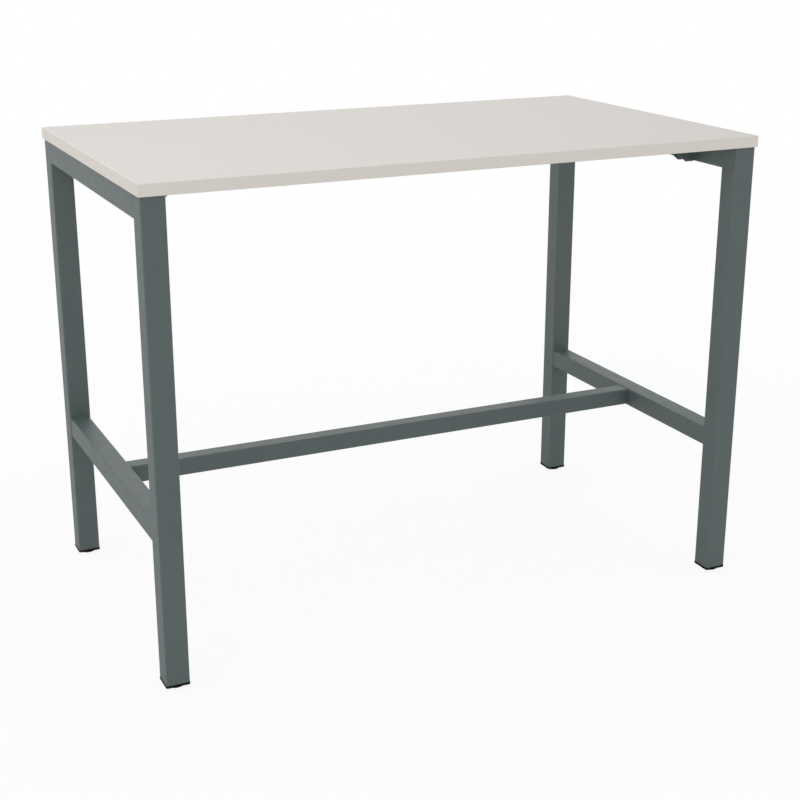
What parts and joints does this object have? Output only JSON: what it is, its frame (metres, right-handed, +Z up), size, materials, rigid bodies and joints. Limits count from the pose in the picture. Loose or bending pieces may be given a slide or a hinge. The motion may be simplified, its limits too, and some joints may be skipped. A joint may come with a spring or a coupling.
{
  "type": "standing meeting table",
  "caption": "High rectangular meeting table: pale laminated board on a square-tube frame with end and centre foot rails and levelling feet.",
  "frame": {"origin": "on the floor under the middle of the table, feet wound in", "axes": "+X along the table, +Y towards its rear, +Z up"},
  "size_m": [1.4, 0.8, 1.045],
  "materials": {
    "core_board": "raw chipboard",
    "top_laminate": "fine matt melamine laminate, pale warm grey",
    "balancing_laminate": "smooth matt melamine laminate",
    "edge_band": "satin plastic edge band, pale warm grey",
    "frame_paint": "fine-texture powder coat, grey with a green cast",
    "zinc_steel": "bright zinc plate",
    "black_plastic": "moulded black nylon and polyethylene"
  },
  "bodies": {
    "frame": {"tabletop_core": "core_board", "tabletop_upper_laminate": "top_laminate", "tabletop_lower_laminate": "balancing_laminate", "edge_band_front": "edge_band", "edge_band_rear": "edge_band", "edge_band_left": "edge_band", "edge_band_right": "edge_band", "leg_front_left": "frame_paint", "leg_rear_left": "frame_paint", "leg_front_right": "frame_paint", "leg_rear_right": "frame_paint", "upper_rail_left": "frame_paint", "upper_rail_right": "frame_paint", "end_foot_rail_left": "frame_paint", "end_foot_rail_right": "frame_paint", "centre_foot_rail": "frame_paint", "foot_rail_spigot_left": "frame_paint", "foot_rail_spigot_right": "frame_paint", "beam_bracket_front_left": "frame_paint", "beam_bracket_rear_left": "frame_paint", "beam_bracket_front_right": "frame_paint", "beam_bracket_rear_right": "frame_paint", "beam_front": "frame_paint", "beam_rear": "frame_paint", "threaded_inserts": "zinc_steel", "rail_top_screws": "zinc_steel", "beam_top_screws": "zinc_steel", "beam_bolts": "zinc_steel", "beam_lock_nuts": "zinc_steel", "foot_rail_screws": "zinc_steel", "spigot_weld_nuts": "zinc_steel", "foot_nuts": "zinc_steel", "rail_hole_plugs": "black_plastic", "leg_insert_front_left": "black_plastic", "leg_insert_rear_left": "black_plastic", "leg_insert_front_right": "black_plastic", "leg_insert_rear_right": "black_plastic"},
    "foot_pad_front_left": {"foot_pad_front_left": "black_plastic"},
    "foot_stem_front_left": {"foot_stem_front_left": "zinc_steel"},
    "foot_pad_rear_left": {"foot_pad_rear_left": "black_plastic"},
    "foot_stem_rear_left": {"foot_stem_rear_left": "zinc_steel"},
    "foot_pad_front_right": {"foot_pad_front_right": "black_plastic"},
    "foot_stem_front_right": {"foot_stem_front_right": "zinc_steel"},
    "foot_pad_rear_right": {"foot_pad_rear_right": "black_plastic"},
    "foot_stem_rear_right": {"foot_stem_rear_right": "zinc_steel"}
  },
  "joints": [
    {"name": "foot_front_left_travel", "type": "slide", "parent": "frame", "child": "foot_pad_front_left", "axis": [0, 0, -1], "range_m": [0, 0.012]},
    {"name": "foot_front_left_turn", "type": "hinge", "parent": "foot_pad_front_left", "child": "foot_stem_front_left", "pos_m": [-0.671, -0.371, 0.02], "axis": [0, 0, -1], "range_deg": [0, 2880]},
    {"name": "foot_rear_left_travel", "type": "slide", "parent": "frame", "child": "foot_pad_rear_left", "axis": [0, 0, -1], "range_m": [0, 0.012]},
    {"name": "foot_rear_left_turn", "type": "hinge", "parent": "foot_pad_rear_left", "child": "foot_stem_rear_left", "pos_m": [-0.671, 0.371, 0.02], "axis": [0, 0, -1], "range_deg": [0, 2880]},
    {"name": "foot_front_right_travel", "type": "slide", "parent": "frame", "child": "foot_pad_front_right", "axis": [0, 0, -1], "range_m": [0, 0.012]},
    {"name": "foot_front_right_turn", "type": "hinge", "parent": "foot_pad_front_right", "child": "foot_stem_front_right", "pos_m": [0.671, -0.371, 0.02], "axis": [0, 0, -1], "range_deg": [0, 2880]},
    {"name": "foot_rear_right_travel", "type": "slide", "parent": "frame", "child": "foot_pad_rear_right", "axis": [0, 0, -1], "range_m": [0, 0.012]},
    {"name": "foot_rear_right_turn", "type": "hinge", "parent": "foot_pad_rear_right", "child": "foot_stem_rear_right", "pos_m": [0.671, 0.371, 0.02], "axis": [0, 0, -1], "range_deg": [0, 2880]}
  ],
  "couplings": [
    {"joint": "foot_front_left_turn", "follows": "foot_front_left_travel", "rad_per_m": 4188.8},
    {"joint": "foot_rear_left_turn", "follows": "foot_rear_left_travel", "rad_per_m": 4188.8},
    {"joint": "foot_front_right_turn", "follows": "foot_front_right_travel", "rad_per_m": 4188.8},
    {"joint": "foot_rear_right_turn", "follows": "foot_rear_right_travel", "rad_per_m": 4188.8}
  ]
}
